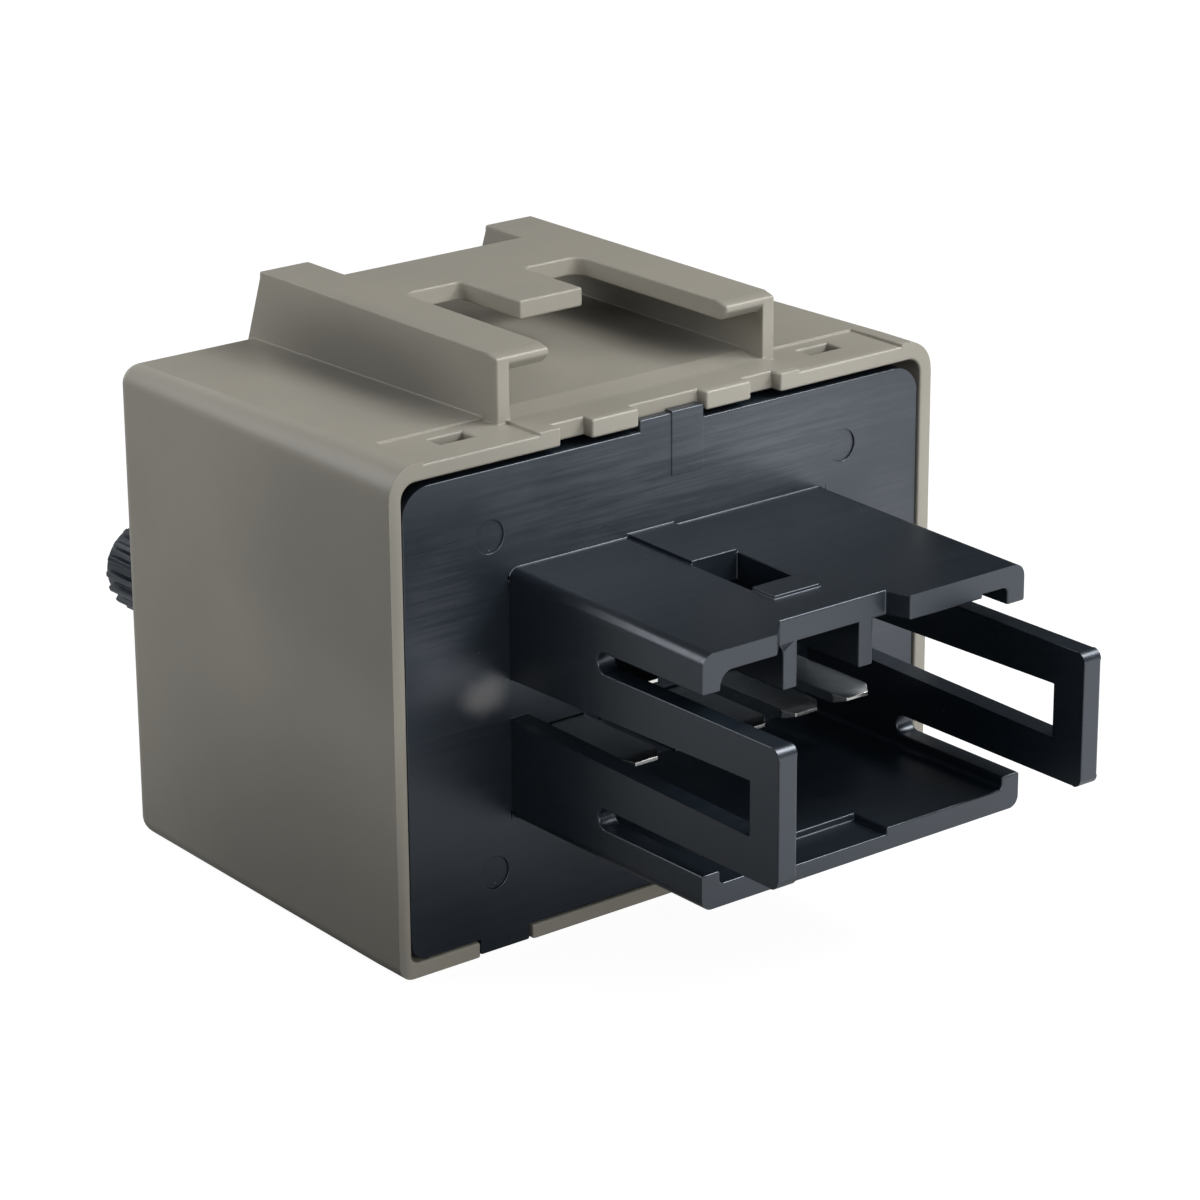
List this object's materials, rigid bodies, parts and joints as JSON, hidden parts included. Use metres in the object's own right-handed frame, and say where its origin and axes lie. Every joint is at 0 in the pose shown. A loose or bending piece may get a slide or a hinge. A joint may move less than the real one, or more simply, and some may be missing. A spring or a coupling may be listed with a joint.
{
  "type": "automotive flasher relay",
  "caption": "Plug-in flasher relay: grey housing with a slide-on bracket, black base with a windowed connector shroud and flat blade terminals, rate knob at the back.",
  "frame": {"origin": "centre of the housing's underside, halfway between its front rim and its back wall", "axes": "+X to the right when facing the connector's back, +Y from the connector towards the knob, +Z from the underside towards the bracket"},
  "size_m": [0.042, 0.0595, 0.036],
  "materials": {
    "housing_plastic": "satin moulded plastic, warm grey",
    "black_plastic": "satin moulded plastic, blue-black",
    "tinned_brass": "tin-plated brass, dull silver",
    "board_laminate": "green solder mask on glass laminate",
    "solder": "bright solder",
    "relay_moulding": "black moulded plastic",
    "relay_cover": "blue moulded plastic",
    "bobbin_plastic": "ivory moulded plastic",
    "copper_wire": "enamelled copper",
    "relay_iron": "nickel-plated soft iron",
    "contact_bronze": "spring bronze with silver buttons",
    "trimmer_plastic": "blue moulded plastic",
    "capacitor_aluminium": "drawn aluminium can",
    "seal_rubber": "black rubber bung",
    "chip_epoxy": "black moulding epoxy",
    "resistor_film": "black glazed film on ceramic"
  },
  "bodies": {
    "case": {"housing": "housing_plastic", "base_plate": "black_plastic", "terminal_1": "tinned_brass", "terminal_2": "tinned_brass", "terminal_3": "tinned_brass", "terminal_4": "tinned_brass", "terminal_5": "tinned_brass", "terminal_6": "tinned_brass", "terminal_7": "tinned_brass", "terminal_8": "tinned_brass", "circuit_board": "board_laminate", "solder_joints": "solder", "left_relay_base": "relay_moulding", "left_relay_cover": "relay_cover", "left_relay_bobbin": "bobbin_plastic", "left_relay_winding": "copper_wire", "left_relay_core": "relay_iron", "left_relay_yoke": "relay_iron", "left_relay_closed_contact": "contact_bronze", "left_relay_open_contact": "contact_bronze", "left_relay_coil_pins": "tinned_brass", "right_relay_base": "relay_moulding", "right_relay_cover": "relay_cover", "right_relay_bobbin": "bobbin_plastic", "right_relay_winding": "copper_wire", "right_relay_core": "relay_iron", "right_relay_yoke": "relay_iron", "right_relay_closed_contact": "contact_bronze", "right_relay_open_contact": "contact_bronze", "right_relay_coil_pins": "tinned_brass", "trimmer_body": "trimmer_plastic", "capacitor_can": "capacitor_aluminium", "capacitor_seal": "seal_rubber", "timer_chip": "chip_epoxy", "transistors": "chip_epoxy", "diodes": "chip_epoxy", "resistors": "resistor_film", "current_shunt": "copper_wire"},
    "adjuster": {"adjust_knob": "black_plastic", "trimmer_rotor": "bobbin_plastic"},
    "left_armature": {"left_relay_armature": "relay_iron", "left_relay_moving_contact": "contact_bronze"},
    "right_armature": {"right_relay_armature": "relay_iron", "right_relay_moving_contact": "contact_bronze"}
  },
  "joints": [
    {"name": "adjuster_turn", "type": "hinge", "parent": "case", "child": "adjuster", "pos_m": [-0.0154, 0.0148, 0.0157], "axis": [0, 1, 0], "range_deg": [-105, 105]},
    {"name": "left_armature_pull", "type": "hinge", "parent": "case", "child": "left_armature", "pos_m": [-0.0045, -0.00115, 0.02325], "axis": [-1, 0, 0], "range_deg": [0, 3.4], "stiffness_Nm_per_rad": 0.0005, "springref_deg": -17.19},
    {"name": "right_armature_pull", "type": "hinge", "parent": "case", "child": "right_armature", "pos_m": [0.0087, -0.00115, 0.02325], "axis": [-1, 0, 0], "range_deg": [0, 3.4], "stiffness_Nm_per_rad": 0.0005, "springref_deg": -17.19}
  ]
}
